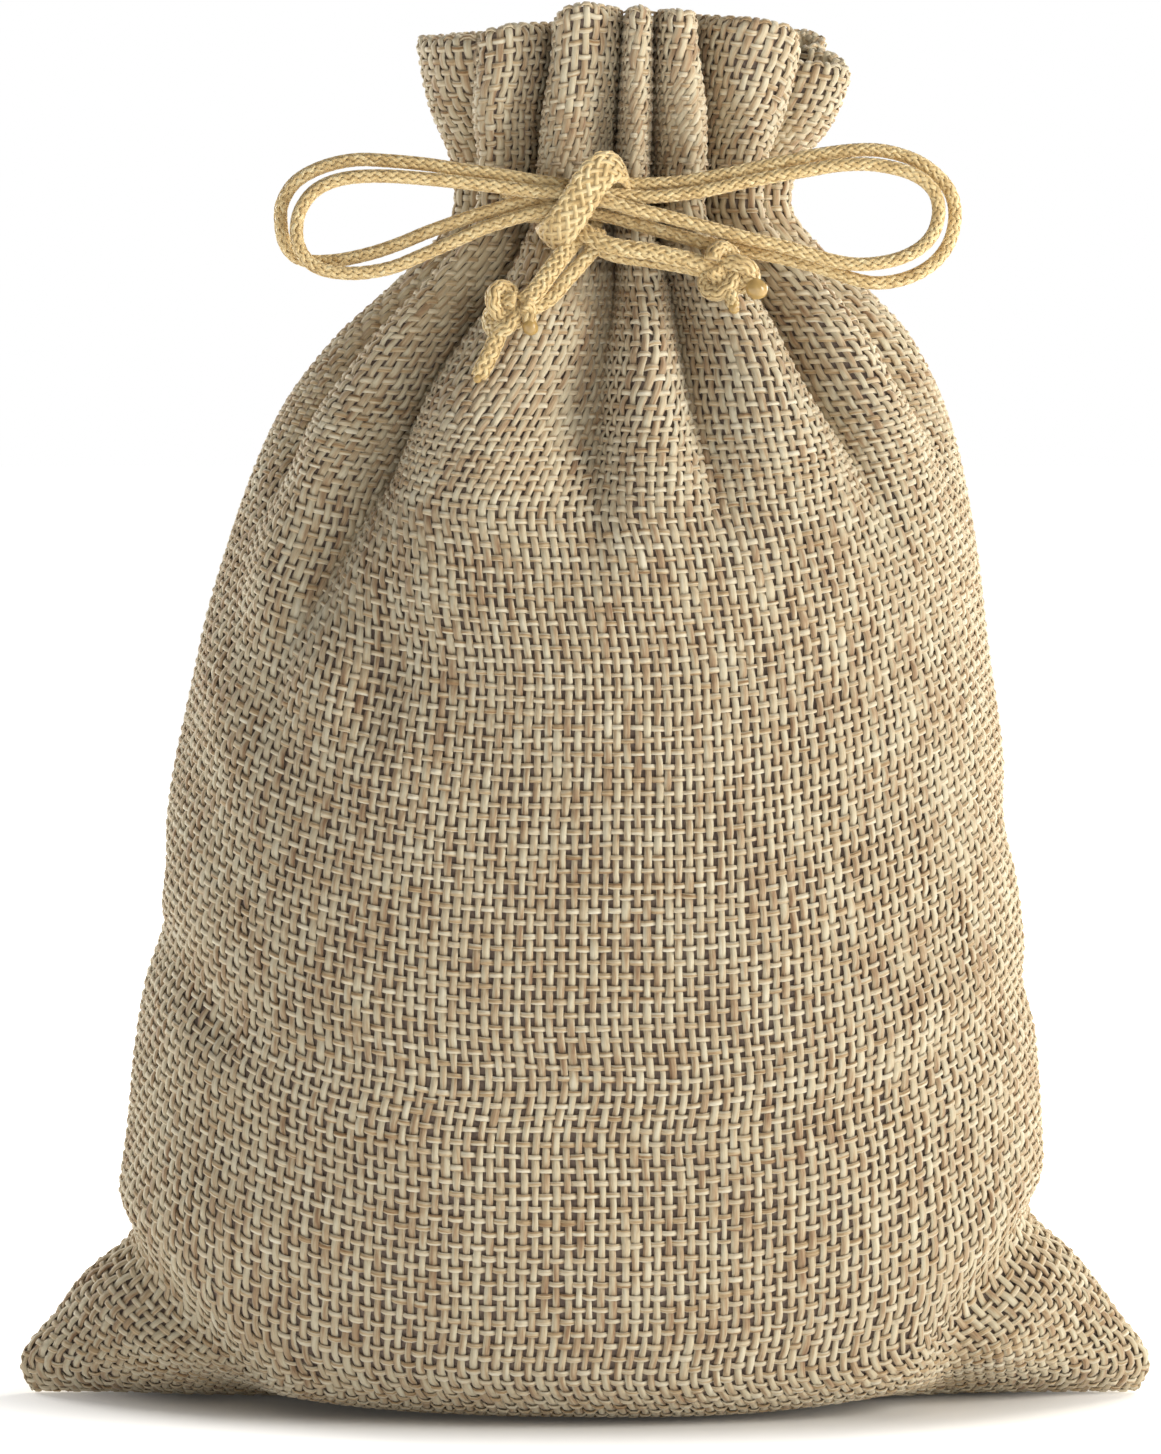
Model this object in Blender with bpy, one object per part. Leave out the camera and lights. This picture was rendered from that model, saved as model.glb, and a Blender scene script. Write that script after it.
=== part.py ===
"""Drawstring gift pouch: two sewn cloth panels, a gathered neck, two cords tied in a bow.

Metres, +Z up. The origin is the middle of the base, the front faces -Y.
Every cord is a tube of its real diameter, every thread a finer one.
"""
import math

import bpy
import numpy as np
from mathutils import Matrix, Vector

MM = 0.001

# ---- driving dimensions (millimetres until a mesh is written) ----
CLOTH = 1.0                 # cloth thickness with the turned hem
SEAM_GAP = 0.16             # half of the joint between the two panels
CORD_RADIUS = 0.76
THREAD_RADIUS = 0.22
CORD_STEP = 3.6             # spacing of the points along a cord
CLEAR = 0.4                 # gap between neighbouring pieces
EAR_TIP_WALL = 5.0          # the corner is flat cloth this far in from its tip
BASE_ROUNDING = 3.0         # height where the wall turns in to the base

# height, left edge, right edge, half depth
STATIONS = (
    (0.0, -63.5, 63.5, 23.0),
    (3.0, -65.0, 65.0, 26.0),
    (9.0, -60.5, 61.0, 28.0),
    (17.0, -55.5, 55.5, 29.5),
    (26.0, -52.6, 52.2, 30.5),
    (40.0, -51.0, 51.3, 31.0),
    (56.0, -48.8, 49.3, 31.0),
    (72.0, -46.3, 47.4, 30.3),
    (88.0, -42.8, 45.2, 29.0),
    (102.0, -38.6, 43.3, 27.2),
    (112.0, -34.3, 40.8, 25.0),
    (120.0, -28.3, 37.0, 21.8),
    (126.0, -21.8, 31.5, 18.0),
    (131.0, -17.0, 26.0, 14.8),
    (135.0, -15.0, 23.5, 13.2),
    (140.0, -15.4, 24.4, 13.2),
    (147.0, -17.6, 27.6, 14.6),
    (155.0, -19.0, 30.0, 16.0),
)
PLEATS = 7                  # folds across one panel
PLEAT_START = 84.0          # height where the folds begin
PLEAT_DEPTH = 3.2           # fold depth at the neck
NECK_HEIGHT = 135.0
COLUMNS = 35                # faces across one panel
BASE_STEPS = (0.75, 0.45, 0.2)
SLIT_LOW, SLIT_HIGH = 132.0, 139.0
SLIT_HALF = 3.5             # the side seam stays open this far for the cords
SLIT_REACH = 9.0            # the cloth is eased back over this depth
STITCH_HEIGHTS = {"lower": 131.0, "upper": 140.0}

# the two rings of cord that run inside the casing
LEAD_HIGH = 136.7           # the two strands of a cord between its slit and the bow
LEAD_LOW = 134.1
LEFT_RING_HEIGHT = 136.6
RIGHT_RING_HEIGHT = 133.6
RING_HALF_WIDTH = 13.6
RING_HALF_DEPTH = 6.6

# the bow
KNOT_CENTRE = (-0.6, -17.4, 136.0)
KNOT_HALF = (3.3, 2.9, 5.6)
KNOT_TILT = math.radians(40.0)

# routes of the cords, point by point
LEFT_LOOP_OUTER = (
    (-5.6, -16.6, 138.0), (-8.5, -16.6, 138.5), (-13.6, -16.6, 139.2), (-17.5, -16.6, 139.8),
    (-21.8, -16.6, 140.2), (-25.5, -16.6, 140.3), (-29.1, -16.6, 139.5), (-32.0, -16.6, 137.9),
    (-33.5, -16.6, 135.6), (-33.7, -16.5, 133.4), (-33.3, -16.4, 131.2), (-32.2, -16.2, 129.7),
    (-30.5, -16.1, 129.1), (-28.4, -16.1, 129.1), (-26.2, -16.2, 129.4), (-23.3, -16.4, 130.1),
    (-20.4, -16.6, 131.1), (-17.5, -16.7, 132.3), (-13.6, -16.8, 133.7), (-10.8, -16.9, 134.6),
    (-6.6, -17.0, 135.7),
)
LEFT_LOOP_INNER = (
    (-5.6, -18.1, 136.8), (-8.5, -18.0, 137.2), (-13.6, -17.9, 137.8), (-17.5, -17.9, 138.2),
    (-21.8, -17.9, 138.5), (-25.5, -17.9, 138.4), (-28.2, -17.9, 137.8), (-30.2, -17.9, 136.6),
    (-31.5, -18.0, 134.7), (-31.9, -18.1, 132.8), (-31.7, -18.2, 130.9), (-30.7, -18.2, 129.2),
    (-29.0, -18.2, 128.2), (-26.5, -18.1, 127.8), (-24.0, -18.0, 127.9), (-21.1, -17.9, 128.5),
    (-18.2, -17.9, 129.7), (-13.6, -18.0, 131.7), (-10.8, -18.1, 132.9), (-6.6, -18.3, 134.2),
)
RIGHT_LOOP_OUTER = (
    (4.6, -16.6, 137.6), (8.5, -16.6, 137.7), (12.2, -16.6, 138.1), (17.4, -16.6, 139.1),
    (22.1, -16.6, 140.1), (26.0, -16.6, 140.9), (30.4, -16.5, 141.4), (33.6, -16.4, 141.2),
    (36.9, -16.4, 140.1), (39.3, -16.4, 138.3), (40.6, -16.4, 136.4), (41.0, -16.4, 134.2),
    (40.6, -16.4, 131.8), (39.5, -16.4, 129.8), (37.7, -16.4, 128.2), (35.2, -16.4, 127.1),
    (32.4, -16.5, 126.7), (29.9, -16.6, 127.1), (27.6, -16.7, 127.9), (24.9, -16.8, 128.7),
    (22.1, -16.9, 129.4), (18.7, -17.0, 130.1), (14.3, -17.1, 130.9), (9.6, -17.2, 132.1),
    (5.4, -17.2, 133.3),
)
RIGHT_LOOP_INNER = (
    (4.6, -18.0, 136.4), (7.0, -18.0, 136.2), (12.2, -17.9, 136.7), (17.4, -17.9, 137.8),
    (22.1, -17.9, 138.7), (25.0, -17.9, 139.2), (28.0, -17.9, 139.7), (31.5, -17.9, 139.8),
    (34.9, -17.9, 139.2), (37.2, -17.9, 138.2), (38.6, -17.9, 136.8), (39.1, -17.9, 135.2),
    (39.0, -17.9, 133.6), (38.4, -17.9, 132.0), (37.1, -17.9, 130.6), (35.0, -17.9, 129.5),
    (32.4, -17.9, 128.9), (29.7, -17.9, 128.8), (26.9, -18.0, 129.3), (24.2, -18.1, 130.1),
    (22.1, -18.2, 130.7), (17.4, -18.6, 131.8), (12.2, -18.9, 133.2), (8.0, -19.1, 134.3),
    (5.2, -19.2, 134.9),
)
LEFT_TAIL_FRONT = (
    (-3.0, -19.9, 129.4), (-4.2, -20.7, 127.8), (-5.5, -21.4, 126.0),
)
LEFT_TAIL_REAR = (
    (-0.4, -19.8, 128.9), (-1.7, -20.3, 127.0), (-3.9, -20.9, 124.6),
)
RIGHT_TAIL_FRONT = (
    (1.8, -20.1, 131.1), (7.0, -20.3, 130.2), (11.6, -20.2, 129.2),
)
RIGHT_TAIL_REAR = (
    (2.0, -18.6, 129.9), (7.0, -18.6, 129.0), (11.6, -18.6, 128.3),
)
LEFT_END_KNOT = (-8.6, -21.4, 123.8)
RIGHT_END_KNOT = (15.6, -19.9, 127.9)
END_KNOT_HALF = {"left": (2.5, 1.9, 2.6), "right": (3.2, 1.9, 2.8)}
LEFT_TIP_LONG = ((-9.9, -22.3, 120.6), (-10.6, -22.8, 118.6), (-11.8, -23.3, 116.1))
LEFT_TIP_SHORT = ((-5.2, -22.4, 122.8), (-5.4, -22.8, 121.2))
RIGHT_TIP_LONG = ((19.1, -20.9, 126.1), (20.2, -21.4, 124.8))
RIGHT_TIP_SHORT = ((16.0, -21.7, 124.9), (16.4, -22.2, 123.5))

# colour, roughness
CLOTH_LOOK = ((0.56, 0.44, 0.30, 1.0), 0.9)
CORD_LOOK = ((0.66, 0.51, 0.27, 1.0), 0.45)
THREAD_LOOK = ((0.60, 0.50, 0.36, 1.0), 0.7)
SEALED_LOOK = ((0.36, 0.22, 0.08, 1.0), 0.35)


def clear_scene():
    for old in list(bpy.data.objects):
        bpy.data.objects.remove(old, do_unlink=True)


def make_material(name, look):
    material = bpy.data.materials.new(name)
    material.use_nodes = True
    shader = material.node_tree.nodes["Principled BSDF"]
    shader.inputs["Base Color"].default_value = look[0]
    shader.inputs["Roughness"].default_value = look[1]
    shader.inputs["Metallic"].default_value = 0.0
    material.diffuse_color = look[0]
    return material


def own_material(obj, look):
    obj.data.materials.append(make_material(obj.name + "_material", look))


def add_mesh(name, vertices, faces, look):
    mesh = bpy.data.meshes.new(name)
    mesh.from_pydata([tuple(c * MM for c in v) for v in vertices], [], faces)
    mesh.update()
    obj = bpy.data.objects.new(name, mesh)
    bpy.context.scene.collection.objects.link(obj)
    own_material(obj, look)
    return obj


def set_origin(obj, point):
    """Put the object's origin on a joint's axis without moving the shape."""
    move = Vector(point) * MM
    obj.data.transform(Matrix.Translation(-move))
    obj.location = move


# ---- the cloth ----
def smooth_step(low, high, value):
    part = min(max((value - low) / (high - low), 0.0), 1.0)
    return part * part * (3.0 - 2.0 * part)


def station(height):
    """Left edge, right edge and half depth at a height, eased between the stations."""
    heights = [row[0] for row in STATIONS]
    return [float(np.interp(height, heights, [row[i] for row in STATIONS])) for i in (1, 2, 3)]


def pleat(share, height):
    """How far the folds push the wall inwards, as a fraction across one panel."""
    depth = PLEAT_DEPTH * smooth_step(PLEAT_START, NECK_HEIGHT, height)
    edge = math.sin(math.pi * share) ** 0.5
    return depth * edge * 0.5 * (1.0 - math.cos(2.0 * math.pi * PLEATS * share))


def wall_point(share, height, inset, side):
    """A point of one panel: share 0 to 1 from left to right, inset in from the outer face.

    side is -1 for the front and +1 for the back.
    """
    left, right, depth = station(height)
    flat = 1.0 - smooth_step(2.0, 24.0, height)
    shrink = inset / CLOTH
    tip_wall = CLOTH + (EAR_TIP_WALL - CLOTH) * flat
    centre = 0.5 * (left + right)
    half = 0.5 * (right - left) - tip_wall * shrink
    place = -math.cos(math.pi * share)
    power = 2.3
    roundness = 0.5 + 0.4 * flat
    swell = max(1.0 - abs(place) ** power, 0.0) ** roundness
    fold = pleat(share, height) if swell > 0.0 else 0.0
    reach = max((depth - inset - fold) * swell, 0.0)
    return (centre + half * place, side * (SEAM_GAP + reach), height)


def open_slit(y, height, side):
    """Keep the cloth this far back where the side seam is left open for the cords."""
    if SLIT_LOW <= height <= SLIT_HIGH:
        fade = max(1.0 - abs(y) / SLIT_REACH, 0.0)
        return side * (abs(y) + SLIT_HALF * fade)
    return y


def panel_heights():
    rows = [row[0] for row in STATIONS if row[0] >= BASE_ROUNDING]
    rows += [SLIT_LOW, SLIT_HIGH, 144.0]
    return sorted(set(rows))


def panel_layer(inset, side):
    """Rows of points of one face of a panel, from the rim down and in along the base."""
    rows = []
    for height in reversed(panel_heights()):
        floor = BASE_ROUNDING + inset if height == BASE_ROUNDING else height
        row = []
        for column in range(COLUMNS + 1):
            share = column / COLUMNS
            x, y, _ = wall_point(share, floor, inset, side)
            row.append((x, open_slit(y, height, side), floor))
        rows.append(row)
    base = [wall_point(c / COLUMNS, BASE_ROUNDING * 0.5, inset, side) for c in range(COLUMNS + 1)]
    shallow = [(x, side * SEAM_GAP + (y - side * SEAM_GAP) * 0.93, inset) for x, y, _ in base]
    rows.append(shallow)
    for step in BASE_STEPS:
        rows.append([(x, side * SEAM_GAP + (y - side * SEAM_GAP) * step, inset) for x, y, _ in shallow])
    rows.append([(x, side * SEAM_GAP, inset) for x, _, _ in shallow])
    return rows


def make_panel(name, side):
    """One cloth panel: outer face, inner face and the edges between them."""
    outer = panel_layer(0.0, side)
    inner = panel_layer(CLOTH, side)
    count_rows = len(outer)
    per_row = COLUMNS + 1
    vertices = [p for row in outer for p in row] + [p for row in inner for p in row]
    half = count_rows * per_row

    def at(row, column, layer):
        return layer * half + row * per_row + column

    faces = []
    for row in range(count_rows - 1):
        for column in range(COLUMNS):
            corners = ((row, column), (row + 1, column), (row + 1, column + 1), (row, column + 1))
            faces.append([at(r, c, 0) for r, c in corners])
            faces.append([at(r, c, 1) for r, c in reversed(corners)])
    rim = [(0, c) for c in range(per_row)]
    rim += [(r, COLUMNS) for r in range(1, count_rows)]
    rim += [(count_rows - 1, c) for c in range(COLUMNS - 1, -1, -1)]
    rim += [(r, 0) for r in range(count_rows - 2, 0, -1)]
    for here, after in zip(rim, rim[1:] + rim[:1]):
        faces.append([at(*here, 0), at(*after, 0), at(*after, 1), at(*here, 1)])
    if side > 0:
        faces = [list(reversed(face)) for face in faces]
    return add_mesh(name, vertices, faces, CLOTH_LOOK)


# ---- cords and threads ----
def smooth_route(points, spacing):
    """A Catmull-Rom curve through the route's points, read at an even spacing."""
    path = np.array(points, dtype=float)
    ends = np.vstack([2 * path[0] - path[1], path, 2 * path[-1] - path[-2]])
    dense = []
    for i in range(len(path) - 1):
        a, b, c, d = ends[i:i + 4]
        for t in np.linspace(0.0, 1.0, 24, endpoint=False):
            dense.append(0.5 * (2 * b + (c - a) * t + (2 * a - 5 * b + 4 * c - d) * t ** 2
                                + (3 * b - a - 3 * c + d) * t ** 3))
    dense.append(path[-1])
    dense = np.array(dense)
    run = np.concatenate([[0.0], np.cumsum(np.linalg.norm(np.diff(dense, axis=0), axis=1))])
    steps = max(int(round(run[-1] / spacing)), 2)
    wanted = np.linspace(0.0, run[-1], steps + 1)
    return np.column_stack([np.interp(wanted, run, dense[:, i]) for i in range(3)])


def make_tube(name, points, radius, look, resolution=2, origin=None):
    """A closed tube along a list of points."""
    shift = np.array(origin if origin else (0.0, 0.0, 0.0))
    curve = bpy.data.curves.new(name, "CURVE")
    curve.dimensions = "3D"
    curve.bevel_depth = radius * MM
    curve.bevel_resolution = resolution
    curve.use_fill_caps = True
    spline = curve.splines.new("POLY")
    spline.points.add(len(points) - 1)
    for point, place in zip(spline.points, points):
        point.co = (*((np.array(place) - shift) * MM), 1.0)
    obj = bpy.data.objects.new(name, curve)
    obj.location = Vector(shift * MM)
    bpy.context.scene.collection.objects.link(obj)
    own_material(obj, look)
    return obj


def make_cord(name, route, origin=None):
    return make_tube(name, smooth_route(route, CORD_STEP), CORD_RADIUS, CORD_LOOK, origin=origin)


def make_thread(name, points):
    return make_tube(name, points, THREAD_RADIUS, THREAD_LOOK, resolution=0)


def make_side_seam(name, share):
    """The seam thread, just inside the side edge, from below the cord slit to the base."""
    inward = CLEAR + 2.0 * THREAD_RADIUS
    sign = 1.0 if share == 0.0 else -1.0
    points = []
    for height in (127.0, 118.0, 108.0, 95.0, 80.0, 64.0, 48.0, 32.0, 22.0, 14.0, 9.0):
        x, _, _ = wall_point(share, height, CLOTH, -1)
        points.append((x + sign * inward, 0.0, height))
    return make_thread(name, points)


def make_bottom_seam():
    height = CLOTH + CLEAR + THREAD_RADIUS
    return make_thread("bottom_seam_thread", [(x, 0.0, height) for x in np.linspace(-54.0, 54.0, 16)])


def make_casing_stitch(name, side, height):
    """A row of stitching on the inner face of the casing, across one panel."""
    inset = CLOTH + 1.5 * CLEAR + 2.0 * THREAD_RADIUS
    shares = np.arange(3, COLUMNS - 2) / COLUMNS
    return make_thread(name, [wall_point(s, height, inset, side) for s in shares])


def ring_route(side, height):
    """One drawstring: out of the bow, in at its side slit, round the neck and back.

    side is -1 for the cord that leaves on the left and +1 for the one on the right.
    """
    left, right, _ = station(NECK_HEIGHT)
    centre = 0.5 * (left + right)
    edge = left if side < 0 else right
    start = KNOT_CENTRE[0] + side * 6.6
    along_neck = ((start, -14.9), (edge - side * 5.6, -14.0), (edge - side * 2.2, -11.6),
                  (edge + side * 0.8, -8.0), (edge + side * 2.5, -4.1))
    route = [(x, y, LEAD_HIGH) for x, y in along_neck]
    route += [(edge + side * 1.2, -1.5, LEAD_HIGH), (edge - side * 2.0, -1.3, 0.5 * (LEAD_HIGH + height))]
    for turn in np.linspace(math.radians(15.0), math.radians(345.0), 21):
        route.append((centre + side * RING_HALF_WIDTH * math.cos(turn),
                      -RING_HALF_DEPTH * math.sin(turn), height))
    route += [(edge - side * 2.0, 1.4, 0.5 * (height + LEAD_LOW) + 0.4),
              (edge + side * 0.5, 1.0, LEAD_LOW + 0.6), (edge + side * 1.7, -1.2, LEAD_LOW)]
    route += [(x, y, LEAD_LOW) for x, y in reversed(along_neck)]
    return route


def make_ball(name, centre, half, look, tilt=0.0, origin=None):
    """A closed egg shape: the outside of a knot."""
    mesh = bpy.data.meshes.new(name)
    vertices = []
    rings, around = 7, 12
    for ring in range(1, rings):
        polar = math.pi * ring / rings
        for step in range(around):
            turn = 2.0 * math.pi * step / around
            vertices.append((math.sin(polar) * math.cos(turn), math.sin(polar) * math.sin(turn), math.cos(polar)))
    vertices += [(0.0, 0.0, 1.0), (0.0, 0.0, -1.0)]
    top, bottom = len(vertices) - 2, len(vertices) - 1
    faces = []
    for step in range(around):
        after = (step + 1) % around
        faces.append((top, step, after))
        last = (rings - 2) * around
        faces.append((bottom, last + after, last + step))
        for ring in range(rings - 2):
            low, high = (ring + 1) * around, ring * around
            faces.append((high + step, low + step, low + after, high + after))
    turn = Matrix.Rotation(tilt, 4, "Y")
    placed = [turn @ Vector([v[i] * half[i] for i in range(3)]) + Vector(centre) for v in vertices]
    mesh.from_pydata([tuple(p * MM) for p in placed], [], faces)
    mesh.shade_smooth()
    obj = bpy.data.objects.new(name, mesh)
    bpy.context.scene.collection.objects.link(obj)
    own_material(obj, look)
    if origin:
        set_origin(obj, origin)
    return obj


def make_bow():
    """The knot, its two loops of two strands, its two tails with their end knots."""
    make_ball("bow_knot", KNOT_CENTRE, KNOT_HALF, CORD_LOOK, tilt=KNOT_TILT)
    strands = {
        "left_loop_outer_strand": LEFT_LOOP_OUTER,
        "left_loop_inner_strand": LEFT_LOOP_INNER,
        "right_loop_outer_strand": RIGHT_LOOP_OUTER,
        "right_loop_inner_strand": RIGHT_LOOP_INNER,
        "left_tail_front_strand": LEFT_TAIL_FRONT,
        "left_tail_rear_strand": LEFT_TAIL_REAR,
        "right_tail_front_strand": RIGHT_TAIL_FRONT,
        "right_tail_rear_strand": RIGHT_TAIL_REAR,
    }
    for name, route in strands.items():
        make_cord(name, route, origin=KNOT_CENTRE)
    for side, centre in (("left", LEFT_END_KNOT), ("right", RIGHT_END_KNOT)):
        make_ball(side + "_end_knot", centre, END_KNOT_HALF[side], CORD_LOOK, origin=KNOT_CENTRE)
    tips = {
        "left_cord_end_long": LEFT_TIP_LONG,
        "left_cord_end_short": LEFT_TIP_SHORT,
        "right_cord_end_long": RIGHT_TIP_LONG,
        "right_cord_end_short": RIGHT_TIP_SHORT,
    }
    for name, route in tips.items():
        make_tube(name, smooth_route(route, 2.0), CORD_RADIUS * 0.9, SEALED_LOOK, origin=KNOT_CENTRE)


def make_pouch():
    make_panel("front_panel", -1)
    make_panel("back_panel", 1)
    make_side_seam("left_seam_thread", 0.0)
    make_side_seam("right_seam_thread", 1.0)
    make_bottom_seam()
    for label, height in STITCH_HEIGHTS.items():
        make_casing_stitch("front_casing_stitch_" + label, -1, height)
        make_casing_stitch("back_casing_stitch_" + label, 1, height)
    make_cord("left_drawstring", ring_route(-1, LEFT_RING_HEIGHT))
    make_cord("right_drawstring", ring_route(1, RIGHT_RING_HEIGHT))
    make_bow()


clear_scene()
make_pouch()
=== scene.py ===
"""Looks of the drawstring gift pouch: woven cloth, braided cords, a bow, studio light.

Lengths are in millimetres until a mesh is written; the frame, lights and camera are in metres.
"""
import math

import bpy
import numpy as np
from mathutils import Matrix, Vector


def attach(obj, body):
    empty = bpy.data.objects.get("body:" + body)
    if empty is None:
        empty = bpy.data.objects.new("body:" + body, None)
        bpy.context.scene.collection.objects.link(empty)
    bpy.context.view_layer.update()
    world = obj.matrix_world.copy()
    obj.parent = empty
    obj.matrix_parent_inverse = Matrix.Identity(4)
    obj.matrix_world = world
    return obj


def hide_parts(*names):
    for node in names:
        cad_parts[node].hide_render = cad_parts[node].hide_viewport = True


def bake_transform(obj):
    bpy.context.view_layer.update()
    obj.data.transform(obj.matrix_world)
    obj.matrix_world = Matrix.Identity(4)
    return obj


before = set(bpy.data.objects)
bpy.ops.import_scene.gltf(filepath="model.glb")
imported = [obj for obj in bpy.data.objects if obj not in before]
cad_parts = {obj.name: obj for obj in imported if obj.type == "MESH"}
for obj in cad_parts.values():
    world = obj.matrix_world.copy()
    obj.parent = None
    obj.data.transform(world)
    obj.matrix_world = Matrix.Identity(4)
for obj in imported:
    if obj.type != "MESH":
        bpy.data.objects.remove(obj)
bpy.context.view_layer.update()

MM = 0.001

# ---- cloth sizes ----
PANEL_WIDTH = 130.0
WARPS = 112
WEFT_PITCH = 1.44
WARP_HALF = (0.44, 0.15)        # half width, half thickness
WEFT_HALF = (0.325, 0.15)
WARP_LIFT = 0.13
WEFT_LIFT = 0.22
YARN_SIDES = 6
BUNDLES = 3                     # meshes that hold the yarns of one direction of one panel
COLUMNS = 300
FINE = 760
ROW_STEP = 0.46
HEM_DEPTH = 24.0
HEM_GAP = 0.75                  # half of the distance between the two layers of the hem
FLOOR_GAP = 0.42
FLOAT_HALF = 0.27               # half of the flat stretch of a float, as a share of the pitch
YARN_SQUARENESS = 0.8
GAP_SHADE_DEPTH = 0.34             # how far the dark sheet of painted shade lies behind the middle of the yarns
SOFTEN_ROUNDS = 12
SECTION_POWER = 2.3             # of the section across: higher is fuller at the sides
SEAM_GROOVE = (0.9, 0.35)       # depth of the groove at a side seam, and the distance over which it fades
WAVES = 9
WAVE_HEIGHT = 0.16
# slow wander of a yarn and of its width: rings between two changes, and their spread
WARP_WANDER = (9, 0.16)
WARP_SWELL = (5, 0.13)
WEFT_WANDER = (11, 0.22)
WEFT_SWELL = (6, 0.14)

# height, left edge, right edge, half depth
STATIONS = np.array((
    (0.0, -63.5, 63.5, 23.5),
    (3.0, -65.0, 65.0, 26.0),
    (9.0, -60.5, 61.0, 28.0),
    (17.0, -55.5, 55.5, 29.5),
    (26.0, -52.6, 52.2, 30.5),
    (40.0, -51.0, 51.3, 31.0),
    (56.0, -48.8, 49.3, 31.0),
    (72.0, -46.3, 47.4, 30.3),
    (88.0, -42.8, 45.2, 29.0),
    (102.0, -38.6, 43.3, 27.2),
    (112.0, -34.3, 40.8, 25.0),
    (120.0, -28.3, 37.0, 21.8),
    (126.0, -21.8, 31.5, 18.0),
    (131.0, -17.0, 26.0, 14.8),
    (135.0, -15.0, 23.5, 13.2),
    (140.0, -15.4, 24.4, 13.2),
    (147.0, -17.6, 27.6, 14.6),
    (155.0, -19.0, 30.0, 16.0),
    (160.0, -19.6, 31.0, 16.6),
))
NECK = 135.0
RIM = 154.6
FOLDS_FULL = NECK - 6.0         # height at which the folds are as deep as at the neck
FOLD_RISE = 0.9                 # power by which a fold deepens on its way up, where 1 is even
FOLD_BELLY = 1.4                # a quarter of this is the share it gains half way up
CREST_POWER = (2.2, 1.2)        # power that shapes the folds, and how much is added towards the rim
# heights between which the yarns begin to follow the folds, and how closely they do
FOLDS_HOLD = (97.0, 108.0)
FOLDS_KEEP = 0.55
# cloth distances and heights between which the side edges begin and cease to pull the cloth
EDGE_PULL_STARTS = (0.0, 9.0)
EDGE_PULL_ENDS = (96.0, 128.0)
# the base, from the seam out: cloth distance, share of the depth, height
BASE = np.array((
    (0.0, 0.0, 0.0), (12.0, 0.50, 0.0), (18.5, 0.76, 0.1), (22.5, 0.90, 0.7),
    (26.0, 0.975, 3.0), (30.0, 1.0, 6.6),
))
# how far the rim rises or drops along the front and the back
FRONT_RIM = np.array(((0.0, -1.5), (0.2, -1.6), (0.34, 0.0), (0.42, 1.9), (0.5, 1.5), (0.62, 1.0),
                      (0.75, -0.5), (0.83, -4.0), (1.0, -5.5)))
BACK_RIM = np.array(((0.0, -1.5), (0.3, -0.5), (0.6, 0.6), (0.8, -0.5), (0.92, -3.0), (1.0, -5.5)))

# folds: place across the panel low down, at the neck and at the rim; height where it dies out;
# depth at the neck and at the rim
FRONT_FOLDS = (
    (0.095, 0.11, 0.22, 86.0, 5.4, 2.4),
    (0.205, 0.265, 0.345, 72.0, 10.8, 12.5),
    (0.497, 0.478, 0.483, 88.0, 9.0, 8.4),
    (0.605, 0.564, 0.532, 93.0, 8.4, 8.2),
    (0.785, 0.705, 0.613, 93.0, 9.2, 12.0),
    (0.91, 0.87, 0.83, 99.0, 6.4, 6.4),
)
BACK_FOLDS = (
    (0.10, 0.11, 0.13, 98.0, 6.0, 5.0),
    (0.24, 0.25, 0.27, 90.0, 8.0, 6.0),
    (0.37, 0.38, 0.38, 104.0, 7.5, 6.5),
    (0.53, 0.50, 0.49, 92.0, 8.4, 6.5),
    (0.66, 0.62, 0.63, 100.0, 7.6, 6.5),
    (0.79, 0.76, 0.76, 88.0, 7.6, 5.5),
    (0.91, 0.90, 0.89, 104.0, 6.0, 4.0),
)
# creases seen square on: points (x, z), depth, half width
FRONT_CREASES = (
    (((-55.0, 18.5), (-49.5, 13.0), (-43.5, 7.5), (-39.0, 3.0)), 3.6, 3.4),
    (((53.0, 20.0), (46.5, 13.5), (43.0, 8.0), (42.0, 3.0)), 3.8, 3.6),
    (((-49.0, 53.5), (-45.5, 48.5), (-41.0, 44.0)), 1.6, 3.0),
    (((-25.5, 104.0), (-22.5, 95.0), (-21.5, 86.0), (-24.0, 78.0)), 1.3, 3.0),
    (((50.5, 47.0), (45.0, 43.0), (40.0, 42.0)), 0.9, 3.0),
)
BACK_CREASES = (
    (((-55.0, 18.5), (-48.0, 12.0), (-42.5, 6.0)), 2.6, 3.6),
    (((53.0, 20.0), (47.5, 12.5), (44.0, 6.0)), 2.6, 3.6),
    (((-49.0, 60.0), (-42.0, 52.0), (-36.0, 49.0)), 1.4, 3.5),
    (((48.5, 66.0), (42.0, 59.0), (37.0, 57.0)), 1.4, 3.5),
)


# ---- small helpers ----
def ease(low, high, value):
    part = np.clip((value - low) / (high - low), 0.0, 1.0)
    return part * part * (3.0 - 2.0 * part)


def smooth_read(places, values, wanted):
    """A curve through given points that never overshoots them (monotone cubic)."""
    step = np.diff(places)
    slope = np.diff(values) / step
    tangent = np.concatenate([[slope[0]], np.zeros(len(slope) - 1), [slope[-1]]])
    same = slope[:-1] * slope[1:] > 0.0
    joined = 2.0 * slope[:-1] * slope[1:] / np.where(same, slope[:-1] + slope[1:], 1.0)
    tangent[1:-1] = np.where(same, joined, 0.0)
    at = np.clip(np.searchsorted(places, wanted) - 1, 0, len(step) - 1)
    part = np.clip((wanted - places[at]) / step[at], 0.0, 1.0)
    p2, p3 = part ** 2, part ** 3
    return (values[at] * (2 * p3 - 3 * p2 + 1) + step[at] * tangent[at] * (p3 - 2 * p2 + part)
            + values[at + 1] * (3 * p2 - 2 * p3) + step[at] * tangent[at + 1] * (p3 - p2))


def station(height, column):
    return smooth_read(STATIONS[:, 0], STATIONS[:, column], height)


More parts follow.
